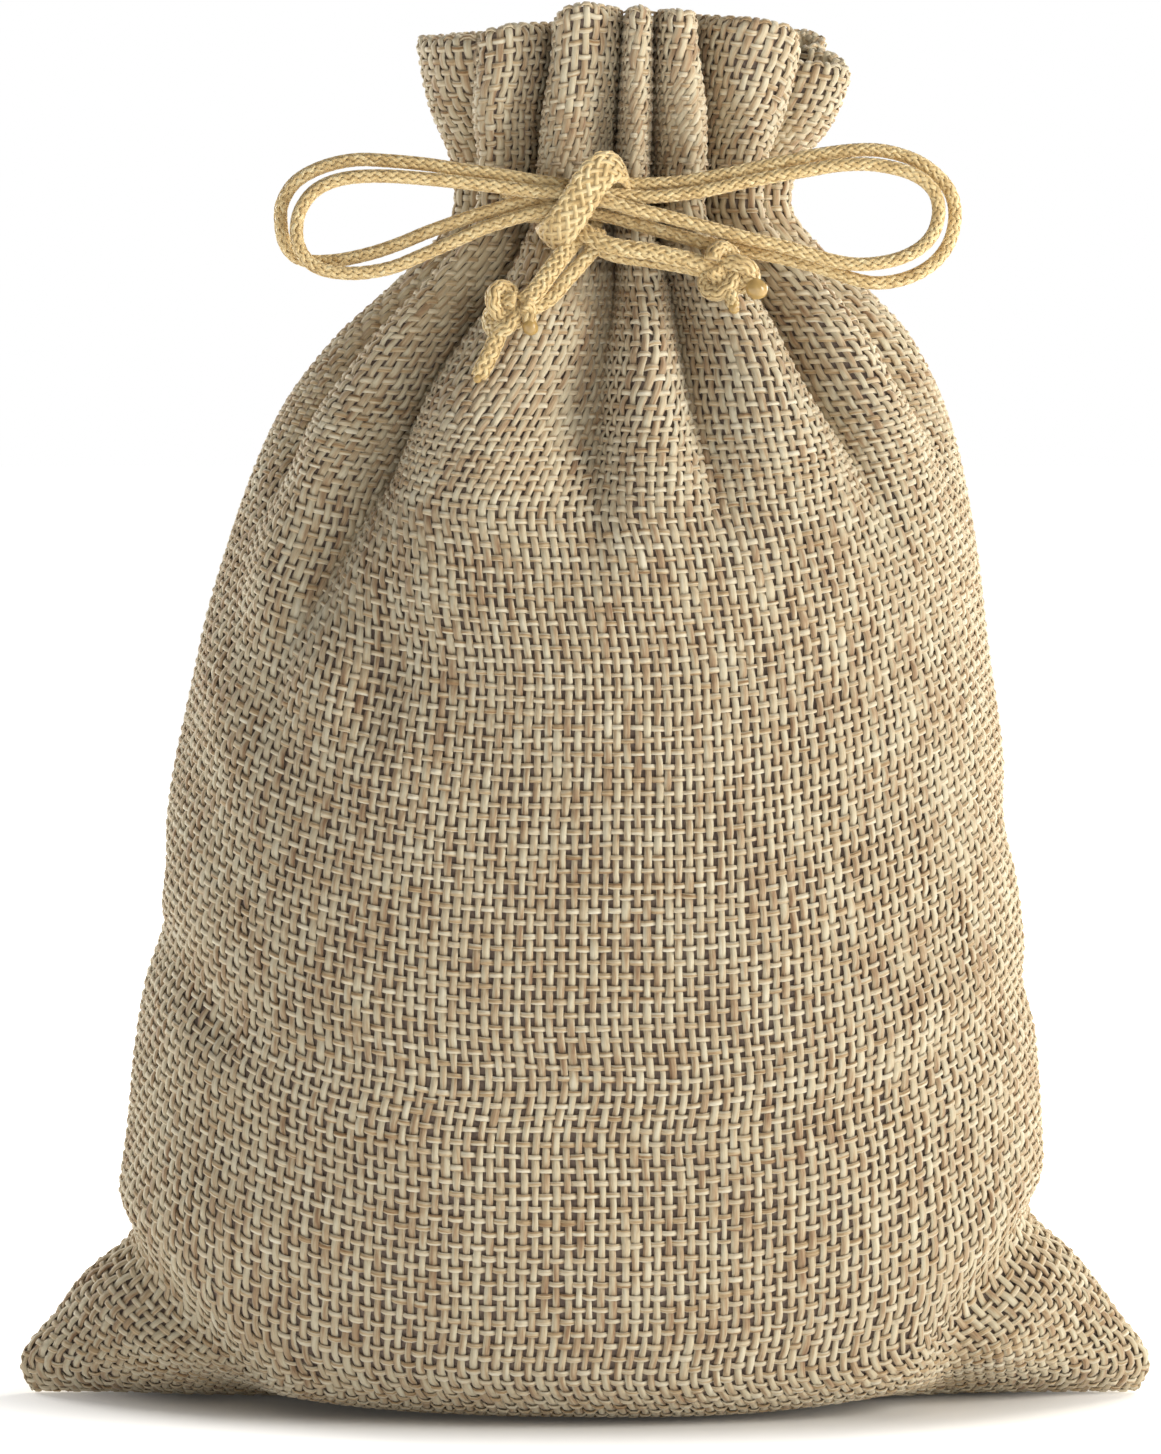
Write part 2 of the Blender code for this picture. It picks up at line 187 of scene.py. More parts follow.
def unit(vectors):
    return vectors / np.maximum(np.linalg.norm(vectors, axis=-1, keepdims=True), 1e-9)


def run_length(points):
    return np.concatenate([[0.0], np.cumsum(np.linalg.norm(np.diff(points, axis=0), axis=1))])


# ---- the shape of the cloth ----
def wall_paths():
    """Cloth distance up the middle and up the side edge, against height."""
    heights = np.linspace(BASE[-1, 2], RIM, 600)
    middle = np.column_stack([station(heights, 3), heights])
    edge_heights = np.linspace(0.0, RIM, 600)
    edge = np.column_stack([station(edge_heights, 2) - station(edge_heights, 1), edge_heights])
    edge[:, 0] *= 0.5
    return (heights, BASE[-1, 0] + run_length(middle)), (edge_heights, run_length(edge))


MIDDLE_PATH, EDGE_PATH = wall_paths()
PANEL_LENGTH = float(MIDDLE_PATH[1][-1])


def row_place(place, distance):
    """Share of the depth and height of the cloth at a place (-1 to 1) and a distance up from the seam."""
    base_height = smooth_read(BASE[:, 0], BASE[:, 2], np.minimum(distance, BASE[-1, 0]))
    wall_height = np.interp(distance, MIDDLE_PATH[1], MIDDLE_PATH[0])
    on_wall = distance > BASE[-1, 0]
    middle = np.where(on_wall, wall_height, base_height)
    share = np.where(on_wall, 1.0, smooth_read(BASE[:, 0], BASE[:, 1], np.minimum(distance, BASE[-1, 0])))
    edge = np.interp(distance * EDGE_PATH[1][-1] / PANEL_LENGTH, EDGE_PATH[1], EDGE_PATH[0])
    pull = np.abs(place) ** 3.0 * ease(*EDGE_PULL_STARTS, distance) * (1.0 - ease(*EDGE_PULL_ENDS, middle))
    height = middle + pull * (edge - middle)
    return share + pull * (1.0 - share), height


def fold_line(fold, height):
    """Share across the panel at which the bottom of a fold lies."""
    low, neck, rim, dies = fold[:4]
    return low + (neck - low) * ease(dies, FOLDS_FULL, height) + (rim - neck) * ease(NECK, RIM, height)


def fold_depth(share, height, folds):
    """How far the gathers push the cloth in, at a share across the panel and a height."""
    lines, depths = [], []
    for fold in folds:
        dies, at_neck, at_rim = fold[3:]
        low_part = ease(dies, FOLDS_FULL, height)
        rim_part = ease(NECK, RIM, height)
        lines.append(fold_line(fold, height))
        belly = 1.0 + FOLD_BELLY * low_part * (1.0 - low_part)
        depths.append(at_neck * low_part ** FOLD_RISE * belly + (at_rim - at_neck) * rim_part)
    lines = [-lines[0]] + lines + [2.0 - lines[-1]]
    depths = [depths[0]] + depths + [depths[-1]]
    total = np.zeros_like(share * height)
    power = CREST_POWER[0] + CREST_POWER[1] * ease(NECK + 3.0, RIM, height)
    for left, right, deep_left, deep_right in zip(lines, lines[1:], depths, depths[1:]):
        part = (share - left) / (right - left)
        inside = (part >= 0.0) & (part < 1.0)
        crest = 1.0 - np.abs(2.0 * part - 1.0) ** power
        total += np.where(inside, (deep_left + (deep_right - deep_left) * part) * (1.0 - crest), 0.0)
    return total


def crease_depth(x, z, creases):
    total = np.zeros_like(x)
    for points, depth, half in creases:
        points = np.array(points)
        nearest = np.full_like(x, 1e9)
        for start, end in zip(points, points[1:]):
            line = end - start
            part = np.clip(((x - start[0]) * line[0] + (z - start[1]) * line[1]) / (line @ line), 0.0, 1.0)
            gap = np.hypot(x - start[0] - part * line[0], z - start[1] - part * line[1])
            nearest = np.minimum(nearest, gap)
        total += depth * np.exp(-((nearest / half) ** 2))
    return total


def waves(share, distance, seed):
    """Slow, shallow unevenness of a filled cloth wall."""
    rng = np.random.default_rng(seed)
    total = np.zeros_like(share * distance)
    for _ in range(WAVES):
        across, along, turn = rng.uniform(1.0, 5.0), rng.uniform(0.01, 0.06), rng.uniform(0.0, 6.28)
        total += WAVE_HEIGHT * np.sin(6.28 * (across * share + along * distance) + turn)
    return total


def places_of_folds(line, height, folds):
    """Shares of a row's own length at which its folds lie, with both ends."""
    run = run_length(line)
    lines = [float(fold_line(fold, height)) for fold in folds]
    return np.concatenate([[0.0], np.interp(lines, np.linspace(0.0, 1.0, len(line)), run) / run[-1], [1.0]])


def cloth_rows(side, folds, creases, rim, seed):
    """Points of one panel: rows from the bottom seam to the rim, columns along the yarns."""
    distances = np.arange(0.0, PANEL_LENGTH, ROW_STEP)[:, None]
    share = np.linspace(0.0, 1.0, FINE)[None, :]
    place = -np.cos(math.pi * share)
    depth_share, height = row_place(place, distances)
    left, right, depth = (station(height, c) for c in (1, 2, 3))
    flat = 1.0 - ease(2.0, 24.0, height)
    swell = np.maximum(1.0 - np.abs(place) ** SECTION_POWER, 0.0) ** (0.5 + 0.4 * flat)
    centre, half = 0.5 * (left + right), 0.5 * (right - left)
    x = centre + half * place
    y = depth * depth_share * swell
    inward = unit(np.stack([-place / half, -np.maximum(swell, 0.02) / depth], -1))
    deep = fold_depth(share, height, folds) + waves(share, distances, seed) * np.minimum(swell * 1.5, 1.0)
    shared = np.maximum(crease_depth(x, height, FRONT_CREASES), crease_depth(x, height, BACK_CREASES))
    # at the seams both panels are creased alike, so that they stay shut
    own = np.minimum(4.0 * swell, 1.0)
    deep = deep + depth_share * (own * crease_depth(x, height, creases) + (1.0 - own) * shared)
    seam = np.minimum(share, 1.0 - share) * math.pi * 0.5 * half
    deep = deep + SEAM_GROOVE[0] * np.exp(-seam / SEAM_GROOVE[1])
    x = x + inward[..., 0] * deep
    y = np.maximum(y + inward[..., 1] * deep, 0.0)
    lift = np.interp(share, rim[:, 0], rim[:, 1])
    height = height + lift * ease(NECK, RIM, height) * (height > NECK)
    z = np.maximum(height, 0.0) + FLOOR_GAP
    dense = np.stack([x, side * y, z + 0.0 * x], -1)
    middles = z[:, FINE // 2]
    first_held = int(np.argmin(np.abs(middles - FOLDS_HOLD[0])))
    held = places_of_folds(dense[first_held], FOLDS_HOLD[0], folds)
    rows = []
    for line, middle in zip(dense, middles):
        run = run_length(line)
        even = np.linspace(0.0, 1.0, COLUMNS + 1)
        keep = FOLDS_KEEP * ease(*FOLDS_HOLD, middle) * (1.0 - ease(NECK, RIM - 4.0, middle))
        if keep > 0.0:
            here = places_of_folds(line, middle, folds)
            even = np.interp(even, here + keep * (held - here), here)
        rows.append(np.stack([np.interp(even * run[-1], run, line[:, i]) for i in range(3)], -1))
    return np.array(rows)


def soften(grid, rounds):
    """Average neighbours a little, so that no fold is sharper than cloth allows."""
    for _ in range(rounds):
        inner = grid[1:-1, 1:-1]
        around = grid[:-2, 1:-1] + grid[2:, 1:-1] + grid[1:-1, :-2] + grid[1:-1, 2:]
        grid[1:-1, 1:-1] = 0.5 * inner + 0.125 * around
    return grid


def normals_of(grid, side):
    along = np.gradient(grid, axis=0)
    across = np.gradient(grid, axis=1)
    return unit(np.cross(across, along)) * (1.0 if side < 0 else -1.0)


def with_hem(grid, side):
    """Turn the rim inwards and run the cloth back down inside as the casing's inner layer."""
    normal = normals_of(grid, side)
    along = unit(np.gradient(grid, axis=0))
    count = int(HEM_DEPTH / ROW_STEP)
    turn = []
    for angle in np.linspace(0.0, math.pi, 7)[1:-1]:
        turn.append(grid[-1] + HEM_GAP * ((math.cos(angle) - 1.0) * normal[-1] + math.sin(angle) * along[-1]))
    inner = (grid - 2.0 * HEM_GAP * normal)[::-1][:count]
    return np.concatenate([grid, np.array(turn), inner])


# ---- yarns ----
def write_mesh(name, points, faces_by_size, attributes, material):
    """A mesh from arrays, in metres, with smooth shading."""
    mesh = bpy.data.meshes.new(name)
    mesh.vertices.add(len(points))
    mesh.vertices.foreach_set("co", (points * MM).astype(np.float32).ravel())
    loops = np.concatenate([f.ravel() for f in faces_by_size])
    sizes = np.concatenate([np.full(len(f), f.shape[1]) for f in faces_by_size])
    mesh.loops.add(len(loops))
    mesh.loops.foreach_set("vertex_index", loops.astype(np.int32))
    mesh.polygons.add(len(sizes))
    mesh.polygons.foreach_set("loop_start", np.concatenate([[0], np.cumsum(sizes)[:-1]]).astype(np.int32))
    mesh.update(calc_edges=True)
    mesh.shade_smooth()
    for label, values in attributes.items():
        attribute = mesh.attributes.new(label, "FLOAT_VECTOR", "POINT")
        attribute.data.foreach_set("vector", values.astype(np.float32).ravel())
    mesh.materials.append(material)
    obj = bpy.data.objects.new(name, mesh)
    bpy.context.scene.collection.objects.link(obj)
    return obj


def tubes(centres, normal, half_width, half_thick, sides, squareness=1.0):
    """Rings round many lines at once: points, side faces and end caps.

    centres and normal are (lines, rings, 3); half sizes broadcast to (lines, rings).
    """
    lines, rings, _ = centres.shape
    tangent = unit(np.gradient(centres, axis=1))
    across = unit(np.cross(tangent, normal))
    up = np.cross(across, tangent)
    angle = 2.0 * math.pi * (np.arange(sides) + 0.5) / sides
    wide = np.cos(angle)
    high = np.sin(angle)
    wide = np.sign(wide) * np.abs(wide) ** squareness
    half_width = np.broadcast_to(half_width, (lines, rings))
    half_thick = np.broadcast_to(half_thick, (lines, rings))
    points = (centres[:, :, None, :]
              + across[:, :, None, :] * (half_width[..., None] * wide)[..., None]
              + up[:, :, None, :] * (half_thick[..., None] * high)[..., None])
    index = np.arange(lines * rings * sides).reshape(lines, rings, sides)
    a, b = index[:, :-1], index[:, 1:]
    quads = np.stack([a, np.roll(a, -1, 2), np.roll(b, -1, 2), b], -1).reshape(-1, 4)
    caps = np.concatenate([index[:, 0, ::-1], index[:, -1]])
    return points.reshape(-1, 3), quads, caps, wide


def yarn_noise(rng, lines, rings, step, size):
    """Slow random wander along each line: step is rings between changes, size its spread."""
    knots = max(int(rings / step) + 2, 3)
    values = rng.normal(0.0, size, (lines, knots))
    place = np.linspace(0.0, knots - 1.001, rings)
    low = place.astype(int)
    part = place - low
    part = part * part * (3 - 2 * part)
    return values[:, low] * (1 - part) + values[:, low + 1] * part


def make_yarns(prefix, grid, side, seed, materials):
    """Weave one panel: warps up the cloth, wefts across it, each over and under in turn."""
    rng = np.random.default_rng(seed)
    normal = normals_of(grid, side)
    middle = run_length(grid[:, COLUMNS // 2])
    wefts = int(middle[-1] / WEFT_PITCH)
    weft_rows = np.interp((np.arange(wefts) + 0.5) * WEFT_PITCH, middle, np.arange(len(middle)))
    warp_columns = (np.arange(WARPS) + 0.5) / WARPS * COLUMNS
    pieces = []

    # warps: two rings on each float, so that it lies flat and then dives
    cross = np.arange(wefts)
    spots = np.stack([cross + 0.5 - FLOAT_HALF, cross + 0.5 + FLOAT_HALF], 1).ravel() * WEFT_PITCH
    rows = np.interp(spots, middle, np.arange(len(middle)))
    sign = np.repeat(np.where((np.arange(WARPS)[:, None] + cross[None, :]) % 2 == 0, 1.0, -1.0), 2, axis=1)
    columns = warp_columns[:, None] + yarn_noise(rng, WARPS, len(rows), *WARP_WANDER)
    centres = sample(grid, rows[None, :] + 0.0 * columns, columns)
    up = unit(sample(normal, rows[None, :] + 0.0 * columns, columns))
    swell = 1.0 + yarn_noise(rng, WARPS, len(rows), *WARP_SWELL)
    centres = centres + up * (WARP_LIFT * sign)[..., None]
    along = np.broadcast_to(spots[None, :], sign.shape)
    pieces += bundle(prefix + "_warp", centres, up, WARP_HALF[0] * swell, WARP_HALF[1] * (2.0 - swell),
                     along, rng, materials["warp"], BUNDLES)

    # wefts: thinner, standing a little higher over each warp
    cross = np.arange(WARPS)
    spots = np.stack([cross + 0.5 - FLOAT_HALF, cross + 0.5 + FLOAT_HALF], 1).ravel() / WARPS * COLUMNS
    spots = np.concatenate([[0.0], spots, [COLUMNS]])
    sign = np.where((np.arange(wefts)[:, None] + cross[None, :]) % 2 == 0, -1.0, 1.0)
    sign = np.repeat(sign, 2, axis=1)
    sign = np.concatenate([0 * sign[:, :1], sign, 0 * sign[:, :1]], 1)
    rows = weft_rows[:, None] + yarn_noise(rng, wefts, len(spots), *WEFT_WANDER)
    rows = np.clip(rows, 0.0, len(grid) - 1.001)
    centres = sample(grid, rows, spots[None, :] + 0.0 * rows)
    up = unit(sample(normal, rows, spots[None, :] + 0.0 * rows))
    swell = 1.0 + yarn_noise(rng, wefts, len(spots), *WEFT_SWELL)
    centres = centres + up * (WEFT_LIFT * sign)[..., None]
    along = np.broadcast_to(spots[None, :] * PANEL_WIDTH / COLUMNS, sign.shape)
    pieces += bundle(prefix + "_weft", centres, up, WEFT_HALF[0] * swell, WEFT_HALF[1] * (2.0 - swell),
                     along, rng, materials["weft"], BUNDLES)
    return pieces


def sample(grid, rows, columns):
    """Read the grid between its points."""
    r = np.clip(rows.astype(int), 0, grid.shape[0] - 2)
    c = np.clip(columns.astype(int), 0, grid.shape[1] - 2)
    fr = np.clip(rows - r, 0.0, 1.0)[..., None]
    fc = np.clip(columns - c, 0.0, 1.0)[..., None]
    low = grid[r, c] * (1 - fc) + grid[r, c + 1] * fc
    high = grid[r + 1, c] * (1 - fc) + grid[r + 1, c + 1] * fc
    return low * (1 - fr) + high * fr


def bundle(name, centres, up, half_width, half_thick, along, rng, material, parts):
    """Make the yarns as a few meshes of neighbouring yarns."""
    lines = len(centres)
    number = rng.uniform(0.0, 1.0, lines)
    made = []
    for part, chosen in enumerate(np.array_split(np.arange(lines), parts)):
        points, quads, caps, wide = tubes(centres[chosen], up[chosen], half_width[chosen],
                                          half_thick[chosen], YARN_SIDES, YARN_SQUARENESS)
        shape = (len(chosen), centres.shape[1], YARN_SIDES)
        place = np.stack([
            np.broadcast_to(along[chosen][..., None], shape),
            np.broadcast_to(number[chosen][:, None, None] * 100.0, shape),
            np.broadcast_to(wide, shape)], -1).reshape(-1, 3)
        made.append(write_mesh(f"{name}_yarns_{part + 1}", points, [quads, caps], {"yarn": place}, material))
    return made


def make_gap_shade_sheet(name, grid, side, material):
    """A dark sheet just behind the yarns: painted shade that shows in the gaps of the weave."""
    normal = normals_of(grid, side)
    sheet = (grid - GAP_SHADE_DEPTH * normal)[::2, ::2]
    rows, columns, _ = sheet.shape
    index = np.arange(rows * columns).reshape(rows, columns)
    quads = np.stack([index[:-1, :-1], index[:-1, 1:], index[1:, 1:], index[1:, :-1]], -1).reshape(-1, 4)
    if side > 0:
        quads = quads[:, ::-1]
    return write_mesh(name, sheet.reshape(-1, 3), [quads], {}, material)


STITCH_LENGTH = 2.5
STITCH_SHOWS = 0.62             # share of a stitch that lies on the face
STITCH_HALF = (0.17, 0.13)      # half width, half thickness of the thread
STITCH_HEIGHTS = {"lower": 131.0, "upper": 140.0}
STITCH_RISE = {"casing": 0.40, "seam": 0.16}    # how far a stitch stands out of the cloth


def make_stitches(name, line, out, rise, material):
    """Running stitches along a line: each rises out of the cloth, lies flat and dives again."""
    run = run_length(line)
    count = int(run[-1] / STITCH_LENGTH)
    rings = np.array((0.0, 0.14, 0.3, 0.7, 0.86, 1.0))
    spots = (np.arange(count)[:, None] + 0.2 + STITCH_SHOWS * rings[None, :]) * run[-1] / count
    centres = np.stack([np.interp(spots, run, line[:, i]) for i in range(3)], -1)
    up = unit(np.stack([np.interp(spots, run, out[:, i]) for i in range(3)], -1))
    lift = np.array((-0.45, 0.3, 1.0, 1.0, 0.3, -0.45)) * rise
    centres = centres + up * lift[None, :, None]
    points, quads, caps, wide = tubes(centres, up, STITCH_HALF[0], STITCH_HALF[1], YARN_SIDES)
    shape = (count, len(rings), YARN_SIDES)
    place = np.stack([np.broadcast_to(spots[..., None], shape), np.zeros(shape),
                      np.broadcast_to(wide, shape)], -1).reshape(-1, 3)
    piece = write_mesh(name, points, [quads, caps], {"yarn": place}, material)
    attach(piece, "pouch")
    return piece


def stitch_casing(prefix, grid, side, material):
    """The two rows of stitches above and below the drawstrings."""
    normal = normals_of(grid, side)
    columns = np.linspace(1.5, COLUMNS - 1.5, 900)
    for label, height in STITCH_HEIGHTS.items():
        row = np.interp(height, grid[:, COLUMNS // 2, 2], np.arange(len(grid)))
        rows = np.full_like(columns, row)
        line, out = sample(grid, rows, columns), sample(normal, rows, columns)
        piece = make_stitches(f"{prefix}_casing_{label}_stitches", line, out, STITCH_RISE["casing"], material)
        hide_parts(f"{prefix}_casing_stitch_{label}")


def stitch_seams(front, back, material):
    """Stitches in the groove of each seam, where the two panels meet."""
    last = int(np.interp(PANEL_LENGTH - 3.0, run_length(front[:, COLUMNS // 2]), np.arange(len(front))))
    for label, edge, out in (("left", (slice(6, last), 0), (-1.0, 0.0, 0.0)),
                             ("right", (slice(6, last), -1), (1.0, 0.0, 0.0)),
                             ("bottom", (0, slice(4, -4)), (0.0, 0.0, -1.0))):
        line = 0.5 * (front[edge] + back[edge])
        outs = np.broadcast_to(out, line.shape)
        piece = make_stitches(label + "_seam_stitches", line, outs, STITCH_RISE["seam"], material)
        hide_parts(label + "_seam_thread")


# ---- materials ----
def new_material(name):
    material = bpy.data.materials.new(name)
    material.use_nodes = True
    return material, material.node_tree.nodes, material.node_tree.links


def colour_ramp(nodes, stops):
    ramp = nodes.new("ShaderNodeValToRGB")
    elements = ramp.color_ramp.elements
    while len(elements) < len(stops):
        elements.new(0.5)
    for element, (place, colour) in zip(elements, stops):
        element.position = place
        element.color = (*colour, 1.0)
    return ramp


def scaled_noise(nodes, links, split, scales, detail):
    """Noise over the yarn's own coordinates, each multiplied by its own scale."""
    join = nodes.new("ShaderNodeCombineXYZ")
    for axis, scale in zip("XYZ", scales):
        part = nodes.new("ShaderNodeMath")
        part.operation = "MULTIPLY"
        part.inputs[1].default_value = scale
        links.new(split.outputs[axis], part.inputs[0])
        links.new(part.outputs[0], join.inputs[axis])
    noise = nodes.new("ShaderNodeTexNoise")
    noise.inputs["Scale"].default_value = 1.0
    noise.inputs["Detail"].default_value = detail
    links.new(join.outputs[0], noise.inputs["Vector"])
    return noise


def yarn_material(name, stops, slow, fine, roughness):
    """Mixed fibres: slow and fine scale the place on the yarn for its colour and for its grain."""
    material, nodes, links = new_material(name)
    shader = nodes["Principled BSDF"]
    shader.inputs["Roughness"].default_value = roughness
    shader.inputs["Sheen Weight"].default_value = 0.25
    shader.inputs["Sheen Roughness"].default_value = 0.5
    shader.inputs["Specular IOR Level"].default_value = 0.25
    place = nodes.new("ShaderNodeAttribute")
    place.attribute_name = "yarn"
    split = nodes.new("ShaderNodeSeparateXYZ")
    links.new(place.outputs["Vector"], split.inputs[0])
    noise = scaled_noise(nodes, links, split, slow, 3.0)
    noise.inputs["Roughness"].default_value = 0.6
    ramp = colour_ramp(nodes, stops)
    links.new(noise.outputs["Fac"], ramp.inputs["Fac"])
    links.new(ramp.outputs["Color"], shader.inputs["Base Color"])
    grain = scaled_noise(nodes, links, split, fine, 2.0)
    bump = nodes.new("ShaderNodeBump")
    bump.inputs["Strength"].default_value = 0.5
    bump.inputs["Distance"].default_value = 0.00012
    links.new(grain.outputs["Fac"], bump.inputs["Height"])
    links.new(bump.outputs["Normal"], shader.inputs["Normal"])
    return material


def speckled_material(name, stops, scale, roughness, coat=0.0):
    """One colour speckled with another."""
    material, nodes, links = new_material(name)
    shader = nodes["Principled BSDF"]
    shader.inputs["Roughness"].default_value = roughness
    shader.inputs["Coat Weight"].default_value = coat
    noise = nodes.new("ShaderNodeTexNoise")
    noise.inputs["Scale"].default_value = scale
    ramp = colour_ramp(nodes, stops)
    links.new(noise.outputs["Fac"], ramp.inputs["Fac"])
    links.new(ramp.outputs["Color"], shader.inputs["Base Color"])
    return material


# each stop is a place from 0 to 1 and the colour there
WARP_STOPS = ((0.28, (0.27, 0.165, 0.09)), (0.40, (0.42, 0.30, 0.18)), (0.50, (0.54, 0.445, 0.295)),
              (0.60, (0.60, 0.53, 0.375)), (0.74, (0.70, 0.64, 0.49)))
WEFT_STOPS = ((0.30, (0.28, 0.165, 0.075)), (0.42, (0.48, 0.35, 0.20)), (0.52, (0.61, 0.515, 0.355)),
              (0.64, (0.69, 0.62, 0.465)), (0.78, (0.76, 0.70, 0.56)))
# painted shade: dark colours for the sheet behind the weave, seen through its gaps
GAP_SHADE_STOPS = ((0.3, (0.17, 0.125, 0.10)), (0.7, (0.30, 0.235, 0.19)))
SEALED_STOPS = ((0.35, (0.36, 0.22, 0.06)), (0.7, (0.62, 0.43, 0.17)))
THREAD_STOPS = ((0.3, (0.36, 0.27, 0.17)), (0.5, (0.50, 0.40, 0.27)), (0.7, (0.60, 0.50, 0.36)))
CORD_STOPS = ((0.30, (0.44, 0.29, 0.115)), (0.45, (0.66, 0.48, 0.225)), (0.58, (0.79, 0.62, 0.33)),
              (0.75, (0.90, 0.79, 0.50)))


def cloth_materials():
    return {
        "warp": yarn_material("cloth_warp", WARP_STOPS, (0.16, 7.31, 0.55), (1.2, 3.0, 5.0), 0.78),
        "weft": yarn_material("cloth_weft", WEFT_STOPS, (0.14, 5.77, 0.85), (1.2, 3.0, 5.0), 0.70),
        # painted shade: the dark sheet seen through the gaps of the weave
        "ground": speckled_material("cloth_gap_shade", GAP_SHADE_STOPS, 260.0, 0.95),
    }


# ---- cords ----
def curve_through(points, step):
    """A Catmull-Rom curve through the points, read at an even spacing."""
    path = np.array(points, dtype=float)
    ends = np.vstack([2 * path[0] - path[1], path, 2 * path[-1] - path[-2]])
    t = np.linspace(0.0, 1.0, 40, endpoint=False)[:, None]
    dense = []
    for a, b, c, d in zip(ends, ends[1:], ends[2:], ends[3:]):
        dense.append(0.5 * (2 * b + (c - a) * t + (2 * a - 5 * b + 4 * c - d) * t ** 2
                            + (3 * b - a - 3 * c + d) * t ** 3))
    dense = np.vstack(dense + [path[-1:]])
    run = run_length(dense)
    wanted = np.linspace(0.0, run[-1], max(int(round(run[-1] / step)), 2) + 1)
    return np.column_stack([np.interp(wanted, run, dense[:, i]) for i in range(3)])


def carried_frame(line, start=None):
    """Two directions across the line, carried along it without twist."""
    tangent = unit(np.gradient(line, axis=0))
    if start is None:
        start = (0.0, -1.0, 0.0) if abs(tangent[0][1]) < 0.9 else (0.0, 0.0, 1.0)
    start = np.array(start)
    first = [unit(start - tangent[0] * (start @ tangent[0]))]
    for here in tangent[1:]:
        first.append(unit(first[-1] - here * (first[-1] @ here)))
    first = np.array(first)
    return first, np.cross(tangent, first)


CORD_RADIUS = 0.76
BRAID_STRANDS = 6                # each way
BRAID_LIFT = 0.085               # how far a strand rises over another
BRAID_FILL = 0.74                # width of a strand, as a share of its room
BRAID_LEAD = 1.5                 # length of one turn, in circumferences
FEWEST_STRANDS = 6               # each way, however thin the cord
STRAND_SIDES = 4
STRAND_HALF = 0.10               # half thickness
STRAND_DEPTH = 0.15              # from the cord's surface to the middle of a strand
STRAND_FLAT = 0.26               # half of the flat stretch between two crossings, in cells
CORE_DEPTH = 0.27                # from the cord's surface to its core
CORE_SIDES = 12
PATH_STEP = 0.25
TIP_TAPER = 1.0                  # length over which a cord narrows to its melted end
TIP_SHARE = 0.65                 # its size there, as a share of the cord's
BEAD_STRETCH = 1.1               # length over width of a melted bead
BEAD_LUMPS = 0.11

# ---- the bow: routes in millimetres, the CAD's own between the knot and the end knots ----
LEFT_LOOP_OUTER = (
    (0.6, -16.8, 137.2), (-2.6, -16.7, 137.6), (-5.6, -16.6, 138.0), (-8.5, -16.6, 138.5),
    (-13.6, -16.6, 139.2), (-17.5, -16.6, 139.8), (-21.8, -16.6, 140.2), (-25.5, -16.6, 140.3),
    (-29.1, -16.6, 139.5), (-32.0, -16.6, 137.9), (-33.5, -16.6, 135.6), (-33.7, -16.5, 133.4),
    (-33.3, -16.4, 131.2), (-32.2, -16.2, 129.7), (-30.5, -16.1, 129.1), (-28.4, -16.1, 129.1),
    (-26.2, -16.2, 129.4), (-23.3, -16.4, 130.1), (-20.4, -16.6, 131.1), (-17.5, -16.7, 132.3),
    (-13.6, -16.8, 133.7), (-10.8, -16.9, 134.6), (-6.6, -17.0, 135.7), (-3.4, -17.0, 135.9),
    (0.4, -16.9, 135.8),
)
LEFT_LOOP_INNER = (
    (0.2, -18.0, 136.3), (-2.6, -18.1, 136.7), (-5.6, -18.1, 136.8), (-8.5, -18.0, 137.2),
    (-13.6, -17.9, 137.8), (-17.5, -17.9, 138.2), (-21.8, -17.9, 138.5), (-25.5, -17.9, 138.4),
    (-28.2, -17.9, 137.8), (-30.2, -17.9, 136.6), (-31.5, -18.0, 134.7), (-31.9, -18.1, 132.8),
    (-31.7, -18.2, 130.9), (-30.7, -18.2, 129.2), (-29.0, -18.2, 128.2), (-26.5, -18.1, 127.8),
    (-24.0, -18.0, 127.9), (-21.1, -17.9, 128.5), (-18.2, -17.9, 129.7), (-13.6, -18.0, 131.7),
    (-10.8, -18.1, 132.9), (-6.6, -18.3, 134.2), (-3.4, -18.4, 134.9), (0.0, -18.2, 135.2),
)
RIGHT_LOOP_OUTER = (
    (-1.2, -16.7, 137.4), (1.8, -16.7, 137.5), (4.6, -16.6, 137.6), (8.5, -16.6, 137.7),
    (12.2, -16.6, 138.1), (17.4, -16.6, 139.1), (22.1, -16.6, 140.1), (26.0, -16.6, 140.9),
    (30.4, -16.5, 141.4), (33.6, -16.4, 141.2), (36.9, -16.4, 140.1), (39.3, -16.4, 138.3),
    (40.6, -16.4, 136.4), (41.0, -16.4, 134.2), (40.6, -16.4, 131.8), (39.5, -16.4, 129.8),
    (37.7, -16.4, 128.2), (35.2, -16.4, 127.1), (32.4, -16.5, 126.7), (29.9, -16.6, 127.1),
    (27.6, -16.7, 127.9), (24.9, -16.8, 128.7), (22.1, -16.9, 129.4), (18.7, -17.0, 130.1),
    (14.3, -17.1, 130.9), (9.6, -17.2, 132.1), (5.4, -17.2, 133.3), (2.4, -17.2, 134.1),
    (-1.0, -17.0, 134.6),
)
